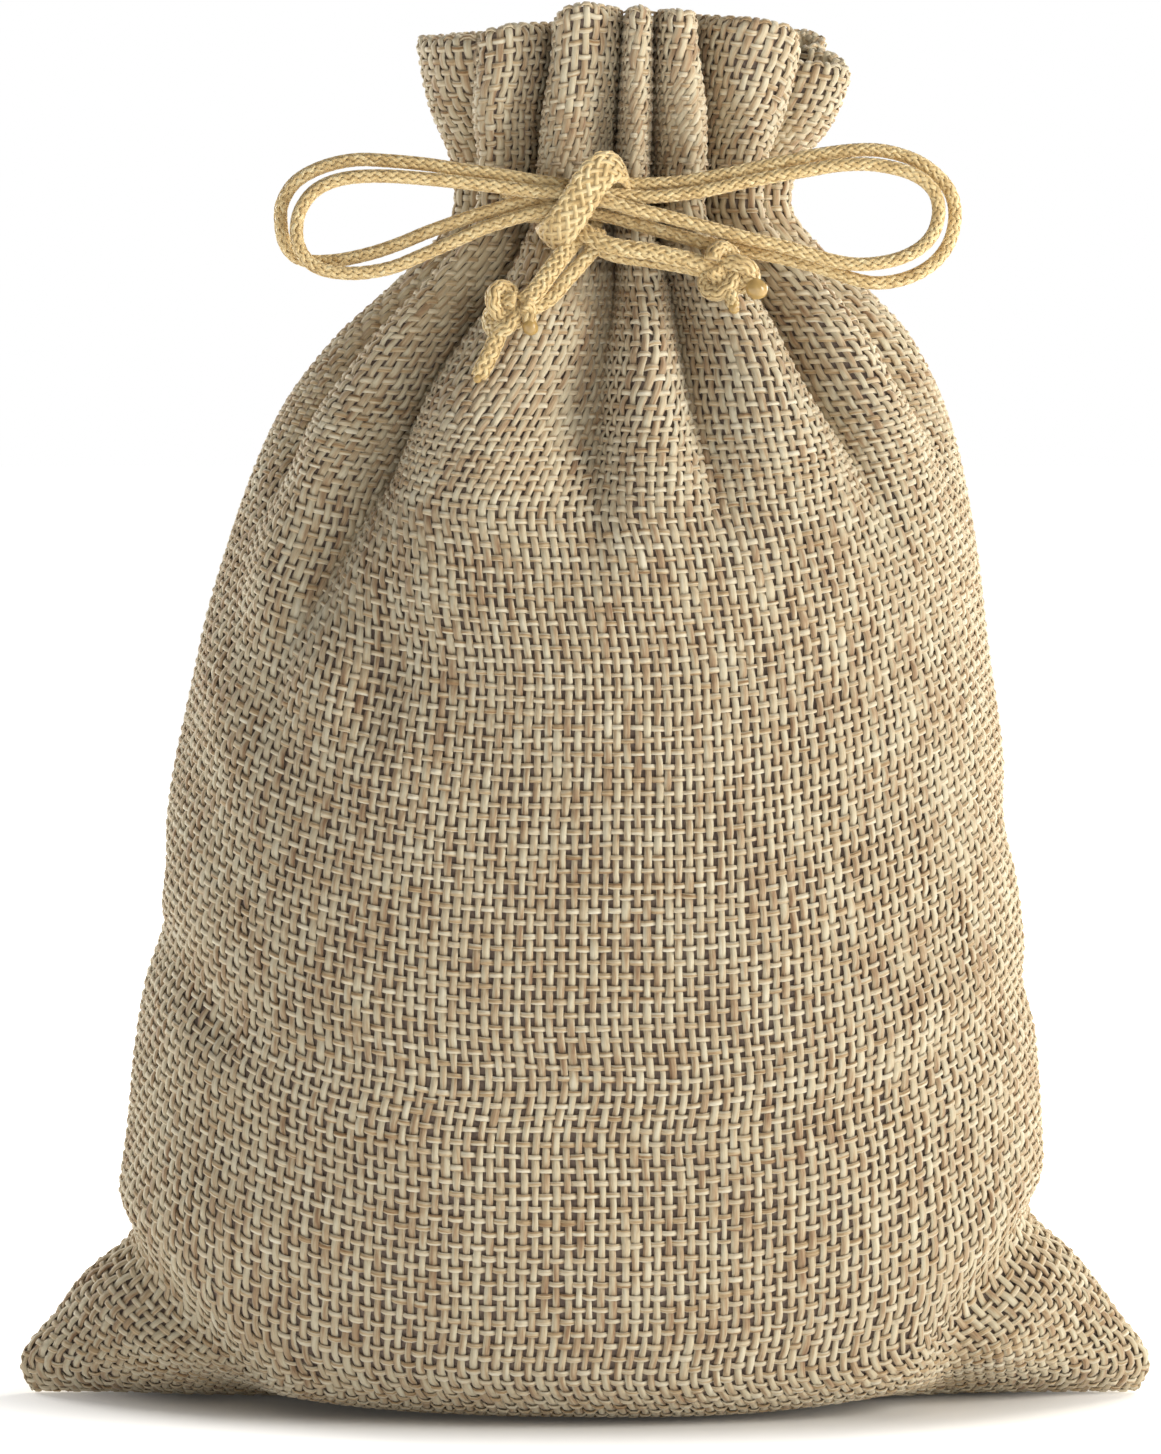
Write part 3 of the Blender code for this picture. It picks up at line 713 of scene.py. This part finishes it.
RIGHT_LOOP_INNER = (
    (-1.0, -17.9, 136.7), (1.8, -18.0, 136.6), (4.6, -18.0, 136.4), (7.0, -18.0, 136.2),
    (12.2, -17.9, 136.7), (17.4, -17.9, 137.8), (22.1, -17.9, 138.7), (25.0, -17.9, 139.2),
    (28.0, -17.9, 139.7), (31.5, -17.9, 139.8), (34.9, -17.9, 139.2), (37.2, -17.9, 138.2),
    (38.6, -17.9, 136.8), (39.1, -17.9, 135.2), (39.0, -17.9, 133.6), (38.4, -17.9, 132.0),
    (37.1, -17.9, 130.6), (35.0, -17.9, 129.5), (32.4, -17.9, 128.9), (29.7, -17.9, 128.8),
    (26.9, -18.0, 129.3), (24.2, -18.1, 130.1), (22.1, -18.2, 130.7), (17.4, -18.6, 131.8),
    (12.2, -18.9, 133.2), (8.0, -19.1, 134.3), (5.2, -19.2, 134.9), (2.4, -18.9, 135.7),
    (-1.0, -18.3, 136.0),
)
KNOT_WRAP = (
    (2.6, -11.6, 135.4), (3.2, -13.6, 136.2), (4.2, -15.6, 137.8), (3.9, -17.9, 139.2),
    (2.5, -19.7, 139.5), (0.9, -20.4, 138.2), (-0.4, -20.5, 136.2), (-1.7, -20.4, 134.2),
    (-2.9, -19.9, 132.6), (-3.8, -18.3, 131.5), (-3.8, -16.2, 131.7), (-2.4, -14.6, 132.9),
    (-0.4, -13.4, 134.0), (1.4, -11.8, 134.2),
)
WRAP_FACE = (0.6, -0.3, 0.2)      # the way the flat side of the wrap faces where it starts
WRAP_HALF = (1.98, 0.68)
WRAP_STRANDS = 9
LEFT_TAIL_FRONT = (
    (-0.2, -17.6, 133.2), (-1.2, -18.8, 131.4), (-2.7, -19.9, 129.5), (-4.0, -20.7, 127.8),
    (-5.4, -21.4, 125.9), (-7.0, -21.8, 124.4),
)
LEFT_TAIL_REAR = (
    (1.6, -17.8, 132.6), (1.0, -18.8, 130.6), (-0.4, -19.6, 128.9), (-2.0, -20.3, 127.1),
    (-4.0, -21.0, 124.9), (-6.6, -21.6, 123.6),
)
RIGHT_TAIL_FRONT = (
    (-1.2, -17.8, 133.8), (0.0, -19.3, 132.3), (2.6, -20.2, 130.9), (7.0, -20.4, 130.2),
    (11.6, -20.4, 129.2), (14.4, -20.0, 128.4),
)
RIGHT_TAIL_REAR = (
    (-0.8, -17.0, 132.4), (0.8, -18.2, 131.0), (3.2, -18.7, 129.8), (7.0, -18.8, 129.2),
    (11.6, -18.8, 128.4), (14.4, -19.0, 127.6),
)
LEFT_TIP_LONG = ((-8.8, -21.6, 122.8), (-9.5, -22.2, 121.2), (-10.5, -22.8, 118.9), (-11.8, -23.3, 116.3))
LEFT_TIP_SHORT = ((-6.8, -22.0, 124.4), (-6.2, -22.4, 123.2), (-6.0, -22.6, 121.9))
RIGHT_TIP_LONG = ((17.2, -20.4, 127.2), (18.2, -20.9, 126.7), (18.9, -21.2, 126.1))
RIGHT_TIP_SHORT = ((15.8, -20.8, 126.6), (16.1, -21.6, 125.2), (16.4, -22.1, 124.0))
LEFT_END_KNOT = (-8.6, -21.4, 123.8)
RIGHT_END_KNOT = (15.6, -20.0, 127.9)
LEAD_HIGH = 136.7
LEAD_LOW = 134.1
RING_HEIGHTS = {"left": 136.6, "right": 133.6}
RING_HALF_WIDTH = 9.6
RING_HALF_DEPTH = 3.3
RING_GAP = 22.0                  # degrees from the side that the cord comes from to the ring's start
# seen from above: from the bow through a gather into the casing, then to and from the ring
LEADS = {
    "left": ((-3.6, -15.4), (-6.3, -13.4), (-8.4, -9.6), (-8.9, -5.6)),
    "right": ((2.4, -15.4), (5.4, -14.7), (8.0, -11.6), (8.6, -8.2), (8.9, -5.4)),
}
RING_IN = {"left": ((-7.2, -3.4, 136.7),), "right": ((11.0, -3.8, 135.6),)}
RING_OUT = {
    "left": ((-6.4, 0.6, 135.6), (-7.6, -1.6, 134.6), (-8.5, -3.6, 134.1)),
    "right": ((14.9, 0.2, 133.8), (14.6, -2.4, 134.0), (11.8, -4.7, 134.1)),
}


def drawstring_route(label):
    """Out of the bow, through the gathers, round inside the casing and back to the bow."""
    side, height = (-1 if label == "left" else 1), RING_HEIGHTS[label]
    centre = 0.5 * float(station(np.array(NECK), 1) + station(np.array(NECK), 2))
    route = [(x, y, LEAD_HIGH) for x, y in LEADS[label]] + list(RING_IN[label])
    for turn in np.radians(np.linspace(RING_GAP, 360.0 - RING_GAP, 17)):
        x = centre + side * RING_HALF_WIDTH * math.cos(turn)
        route.append((x, -RING_HALF_DEPTH * math.sin(turn), height))
    return route + list(RING_OUT[label]) + [(x, y, LEAD_LOW) for x, y in reversed(LEADS[label])]


def overhand_knot(centre, size, lean, deep):
    """The turns of an overhand knot: a trefoil less ten degrees, leaning by an angle seen square on."""
    points = []
    for t in np.linspace(math.radians(98.0), math.radians(448.0), 44):
        x = math.sin(t) + 2.0 * math.sin(2.0 * t)
        z = math.cos(t) - 2.0 * math.cos(2.0 * t)
        turned = np.array((x * math.cos(lean) + z * math.sin(lean), deep * math.sin(3.0 * t),
                           z * math.cos(lean) - x * math.sin(lean)))
        points.append(tuple(np.array(centre) + size * turned))
    return points


def braid(name, route, material, wide=CORD_RADIUS, thick=CORD_RADIUS, start=None, seed=1, point_at=None,
          strands=None):
    """A braided cord: strands laid both ways round a core, each over and under in turn.

    wide and thick are its half width and half thickness; start is the way its flat side faces
    at the first point; point_at narrows the last stretch to a melted tip of that length;
    strands is the number laid each way, worked out from the size if it isn't given.
    """
    mean = 0.5 * (wide + thick)
    strands = strands or max(int(round(BRAID_STRANDS * mean / CORD_RADIUS)), FEWEST_STRANDS)
    lead = 2.0 * math.pi * mean * BRAID_LEAD
    cell = lead / (2.0 * strands)
    path = curve_through(route, PATH_STEP)
    run = run_length(path)
    count = int(run[-1] / cell)
    middles = np.arange(count) + 0.5
    spots = np.stack([middles - STRAND_FLAT, middles + STRAND_FLAT], 1).ravel() * run[-1] / count
    line = np.column_stack([np.interp(spots, run, path[:, i]) for i in range(3)])
    first, second = carried_frame(line, start)
    wave = np.repeat(np.where(np.arange(count) % 2 == 0, 1.0, -1.0), 2)
    turn = 2.0 * math.pi * spots / lead
    narrow = np.ones(len(spots))
    if point_at:
        narrow = np.clip((run[-1] - spots) / point_at, 0.0, 1.0) ** 0.5 * (1.0 - TIP_SHARE) + TIP_SHARE
    centres, ups = [], []
    for way, shift in ((1.0, 0.0), (-1.0, 0.5)):
        for strand in range(strands):
            angle = way * turn + 2.0 * math.pi * (strand + shift) / strands
            reach = (narrow * (1.0 + BRAID_LIFT * way * wave / mean))[:, None]
            c, d = np.cos(angle)[:, None], np.sin(angle)[:, None]
            offset = first * c * (thick - STRAND_DEPTH) + second * d * (wide - STRAND_DEPTH)
            centres.append(line + reach * offset)
            ups.append(unit(first * c / thick + second * d / wide))
    centres, ups = np.array(centres), np.array(ups)
    strand_half = math.pi * mean / strands * BRAID_FILL
    points, quads, caps, across = tubes(centres, ups, strand_half, STRAND_HALF, STRAND_SIDES)
    number = np.random.default_rng(seed).uniform(0.0, 100.0, len(centres))
    shape = (len(centres), len(spots), STRAND_SIDES)
    place = np.stack([np.broadcast_to(spots[None, :, None], shape),
                      np.broadcast_to(number[:, None, None], shape),
                      np.broadcast_to(across, shape)], -1).reshape(-1, 3)
    angle = 2.0 * math.pi * np.arange(CORE_SIDES) / CORE_SIDES
    core = line[:, None, :] + narrow[:, None, None] * (
        (thick - CORE_DEPTH) * first[:, None, :] * np.cos(angle)[None, :, None]
        + (wide - CORE_DEPTH) * second[:, None, :] * np.sin(angle)[None, :, None])
    index = np.arange(core.size // 3).reshape(len(line), CORE_SIDES) + len(points)
    core_quads = np.stack([index[:-1], np.roll(index[:-1], -1, 1), np.roll(index[1:], -1, 1), index[1:]], -1)
    points = np.vstack([points, core.reshape(-1, 3)])
    place = np.vstack([place, np.zeros((core.size // 3, 3))])
    faces = [quads, core_quads.reshape(-1, 4), caps, np.stack([index[0, ::-1], index[-1]])]
    return write_mesh(name, points, faces, {"yarn": place}, material), path


def merge_pieces(name, pieces):
    """Join separate meshes into one piece, keeping each one's material."""
    bpy.ops.object.select_all(action="DESELECT")
    for piece in pieces:
        piece.select_set(True)
    bpy.context.view_layer.objects.active = pieces[0]
    bpy.ops.object.join()
    pieces[0].name = name
    pieces[0].data.name = name
    return pieces[0]


# ---- the studio ----
SKY_STRENGTH = 0.22
FLOOR_HALF = 3.0                # metres
LIT_POINT = (0.0, 0.0, 0.09)    # what the large lights point at
FLOOR_GLOW = (0.02, 0.81)       # under the pouch and far away
GLOW_REACH = (0.022, 0.045)     # distances from the middle between which the glow rises, in metres
GLOW_SHAPE = (0.5, 1.0, 1.0)    # the pouch is about twice as wide as it is deep


def add_area(name, place, target, size, energy, colour, spread=math.pi):
    light = bpy.data.lights.new(name, "AREA")
    light.shape = "RECTANGLE"
    light.size, light.size_y = size
    light.energy = energy
    light.spread = spread
    light.color = colour
    obj = bpy.data.objects.new(name, light)
    obj.location = place
    obj.rotation_euler = (Vector(target) - Vector(place)).to_track_quat("-Z", "Y").to_euler()
    bpy.context.scene.collection.objects.link(obj)


def make_floor():
    """A white floor that glows, but not under the pouch, so that a contact shadow stays."""
    mesh = bpy.data.meshes.new("studio_floor")
    corners = [(x * FLOOR_HALF, y * FLOOR_HALF, 0.0) for x, y in ((-1, -1), (1, -1), (1, 1), (-1, 1))]
    mesh.from_pydata(corners, [], [(0, 1, 2, 3)])
    floor = bpy.data.objects.new("studio_floor", mesh)
    material, nodes, links = new_material("studio_floor")
    shader = nodes["Principled BSDF"]
    shader.inputs["Base Color"].default_value = (0.93, 0.93, 0.93, 1.0)
    shader.inputs["Roughness"].default_value = 0.9
    shader.inputs["Emission Color"].default_value = (1.0, 1.0, 1.0, 1.0)
    place = nodes.new("ShaderNodeNewGeometry")
    scaled = nodes.new("ShaderNodeVectorMath")
    scaled.operation = "MULTIPLY"
    scaled.inputs[1].default_value = GLOW_SHAPE
    links.new(place.outputs["Position"], scaled.inputs[0])
    distance = nodes.new("ShaderNodeVectorMath")
    distance.operation = "LENGTH"
    links.new(scaled.outputs["Vector"], distance.inputs[0])
    glow = nodes.new("ShaderNodeMapRange")
    glow.interpolation_type = "SMOOTHSTEP"
    for socket, value in zip(("From Min", "From Max", "To Min", "To Max"), GLOW_REACH + FLOOR_GLOW):
        glow.inputs[socket].default_value = value
    links.new(distance.outputs["Value"], glow.inputs["Value"])
    links.new(glow.outputs["Result"], shader.inputs["Emission Strength"])
    mesh.materials.append(material)
    bpy.context.scene.collection.objects.link(floor)


def make_studio():
    make_floor()
    make_surroundings()
    bpy.context.scene.view_settings.view_transform = "Standard"
    add_area("key", (0.78, -0.30, 0.33), LIT_POINT, (0.34, 0.5), 6.3, (1.0, 0.965, 0.90))
    add_area("ruffle", (0.16, -0.62, 0.20), (0.005, -0.01, 0.150), (0.05, 0.05), 0.004, (1.0, 0.95, 0.86),
             math.radians(14.0))
    add_area("rim_right", (0.46, 0.55, 0.32), LIT_POINT, (0.3, 0.5), 5.0, (1.0, 0.93, 0.78))
    add_area("rim_left", (-0.55, 0.5, 0.30), LIT_POINT, (0.3, 0.5), 4.0, (1.0, 0.97, 0.92))


def make_surroundings():
    """White all round; the pouch is lit by a dimmer sky, so that the key light shapes it."""
    world = bpy.data.worlds.new("studio")
    world.use_nodes = True
    nodes, links = world.node_tree.nodes, world.node_tree.links
    sky = nodes["Background"]
    sky.inputs["Color"].default_value = (1.0, 0.985, 0.96, 1.0)
    sky.inputs["Strength"].default_value = SKY_STRENGTH
    backdrop = nodes.new("ShaderNodeBackground")
    backdrop.inputs["Color"].default_value = (1.0, 1.0, 1.0, 1.0)
    backdrop.inputs["Strength"].default_value = 1.0
    rays = nodes.new("ShaderNodeLightPath")
    mix = nodes.new("ShaderNodeMixShader")
    links.new(rays.outputs["Is Camera Ray"], mix.inputs["Fac"])
    links.new(sky.outputs["Background"], mix.inputs[1])
    links.new(backdrop.outputs["Background"], mix.inputs[2])
    links.new(mix.outputs["Shader"], nodes["World Output"].inputs["Surface"])
    bpy.context.scene.world = world


IMAGE_ASPECT = 1454.0 / 1161.0
VIEW_WIDTH = 0.1318             # metres across the picture at the pouch
VIEW_DISTANCE = 0.85
VIEW_HEIGHT = 0.0762            # what the middle of the picture looks at
ELEVATION = math.radians(4.0)


def make_camera():
    camera = bpy.data.cameras.new("camera")
    camera.sensor_fit = "VERTICAL"
    camera.sensor_height = 24.0
    camera.lens = 24.0 * VIEW_DISTANCE / (VIEW_WIDTH * IMAGE_ASPECT)
    obj = bpy.data.objects.new("camera", camera)
    target = Vector((-0.0005, 0.0, VIEW_HEIGHT))
    away = Vector((0.0, -math.cos(ELEVATION), math.sin(ELEVATION))) * VIEW_DISTANCE
    obj.location = target + away
    obj.rotation_euler = (-away).to_track_quat("-Z", "Y").to_euler()
    bpy.context.scene.collection.objects.link(obj)
    bpy.context.scene.camera = obj


# ---- the pieces ----
def make_cloth():
    materials = cloth_materials()
    thread = yarn_material("sewing_thread", THREAD_STOPS, (0.4, 1.0, 0.5), (3.0, 1.0, 4.0), 0.6)
    grids = []
    for prefix, side, folds, creases, rim, seed in (
            ("front", -1, FRONT_FOLDS, FRONT_CREASES, FRONT_RIM, 5),
            ("back", 1, BACK_FOLDS, BACK_CREASES, BACK_RIM, 9)):
        grid = soften(cloth_rows(side, folds, creases, rim, seed), SOFTEN_ROUNDS)
        grids.append(grid)
        stitch_casing(prefix, grid, side, thread)
        grid = with_hem(grid, side)
        # painted shade: a dark sheet just behind the yarns, seen through the gaps
        ground = make_gap_shade_sheet(prefix + "_cloth_gap_shade", grid, side, materials["ground"])
        yarns = make_yarns(prefix, grid, side, seed + 1, materials)
        for piece in [ground] + yarns:
            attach(piece, "pouch")
        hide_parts(prefix + "_panel")
    stitch_seams(*grids, thread)


def melted_end(name, point, direction, radius, material):
    """The bead that the cord's end melts to when it is sealed."""
    axis = unit(np.array(direction, dtype=float))
    side = unit(np.cross(axis, (0.1, 1.0, 0.2)))
    front = np.cross(axis, side)
    rings, sides = 9, 14
    reach = axis * radius * BEAD_STRETCH
    points = [np.array(point) - reach]
    rng = np.random.default_rng(3)
    for ring in range(1, rings):
        polar = math.pi * ring / rings
        for step in range(sides):
            angle = 2.0 * math.pi * step / sides
            lump = radius * (1.0 + BEAD_LUMPS * rng.normal())
            points.append(np.array(point) - reach * math.cos(polar)
                          + lump * math.sin(polar) * (math.cos(angle) * side + math.sin(angle) * front))
    points.append(np.array(point) + reach)
    index = 1 + np.arange((rings - 1) * sides).reshape(rings - 1, sides)
    after = np.roll(index, -1, 1)
    quads = np.stack([index[:-1], after[:-1], after[1:], index[1:]], -1).reshape(-1, 4)
    last = len(points) - 1
    fans = np.concatenate([np.stack([0 * index[0], after[0], index[0]], -1),
                           np.stack([0 * index[0] + last, index[-1], after[-1]], -1)])
    return write_mesh(name, np.array(points), [quads, fans], {}, material)


LOOPS = {
    "left_loop_outer_strand": ("left_loop", LEFT_LOOP_OUTER),
    "left_loop_inner_strand": ("left_loop", LEFT_LOOP_INNER),
    "right_loop_outer_strand": ("right_loop", RIGHT_LOOP_OUTER),
    "right_loop_inner_strand": ("right_loop", RIGHT_LOOP_INNER),
}
# body, route, half width and half thickness
TAILS = {
    "left_tail_front_strand": ("left_tail", LEFT_TAIL_FRONT, (1.05, 0.62)),
    "left_tail_rear_strand": ("left_tail", LEFT_TAIL_REAR, (0.85, 0.70)),
    "right_tail_front_strand": ("right_tail", RIGHT_TAIL_FRONT, (0.98, 0.66)),
    "right_tail_rear_strand": ("right_tail", RIGHT_TAIL_REAR, (0.80, 0.74)),
}
# body, route, half width and half thickness, radius of the melted bead
TIPS = {
    "left_cord_end_long": ("left_tail", LEFT_TIP_LONG, (0.98, 0.62), 0.5),
    "left_cord_end_short": ("left_tail", LEFT_TIP_SHORT, (0.80, 0.70), 0.85),
    "right_cord_end_long": ("right_tail", RIGHT_TIP_LONG, (0.90, 0.75), 1.15),
    "right_cord_end_short": ("right_tail", RIGHT_TIP_SHORT, (0.80, 0.70), 0.6),
}
# body, centre, size of the knot, lean, depth, half width and half thickness of its cord
END_KNOTS = {
    "left_end_knot": ("left_tail", LEFT_END_KNOT, 0.82, math.radians(35.0), 1.1, (1.08, 0.88)),
    "right_end_knot": ("right_tail", RIGHT_END_KNOT, 0.90, math.radians(-80.0), 1.05, (1.12, 0.90)),
}


def settle(piece, node):
    """Bake a piece's place into its mesh, and hide the CAD node that it stands for."""
    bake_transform(piece)
    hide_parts(node)


def make_cords():
    cord = yarn_material("cord", CORD_STOPS, (0.5, 3.1, 0.3), (2.0, 3.0, 4.0), 0.42)
    sealed = speckled_material("sealed_cord_end", SEALED_STOPS, 900.0, 0.28, coat=0.4)
    held = {}
    for number, label in enumerate(("left", "right")):
        piece, _ = braid(label + "_drawstring_cord", drawstring_route(label), cord, seed=20 + number)
        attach(piece, "pouch")
        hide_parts(label + "_drawstring")
    wrap, _ = braid("bow_knot_wrap", KNOT_WRAP, cord, *WRAP_HALF, start=WRAP_FACE, seed=30,
                    strands=WRAP_STRANDS)
    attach(wrap, "pouch")
    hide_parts("bow_knot")
    for number, (name, (body, route, half)) in enumerate(TAILS.items()):
        piece, _ = braid(name + "_cord", route, cord, *half, seed=40 + number)
        settle(piece, name)
        held.setdefault(body, []).append(piece)
    for number, (name, (body, route, half, bead_radius)) in enumerate(TIPS.items()):
        piece, _ = braid(name + "_cord", route, cord, *half, seed=50 + number, point_at=TIP_TAPER)
        direction = np.array(route[-1]) - np.array(route[-2])
        bead = melted_end(name + "_bead", route[-1], direction, bead_radius, sealed)
        piece = merge_pieces(name + "_sealed", [piece, bead])
        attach(piece, body)
        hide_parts(name)
        held[body].append(piece)
    for number, (name, (body, centre, size, lean, deep, half)) in enumerate(END_KNOTS.items()):
        route = overhand_knot(centre, size, lean, deep)
        piece, _ = braid(name + "_cord", route, cord, *half, seed=60 + number)
        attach(piece, body)
        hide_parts(name)
        held[body].append(piece)
    for number, (name, (body, route)) in enumerate(LOOPS.items()):
        piece, path = braid(name + "_cord", route, cord, seed=70 + number)
        settle(piece, name)
        tail = held.pop(body.replace("loop", "tail"), [])


make_camera()
make_cords()
make_cloth()
make_studio()
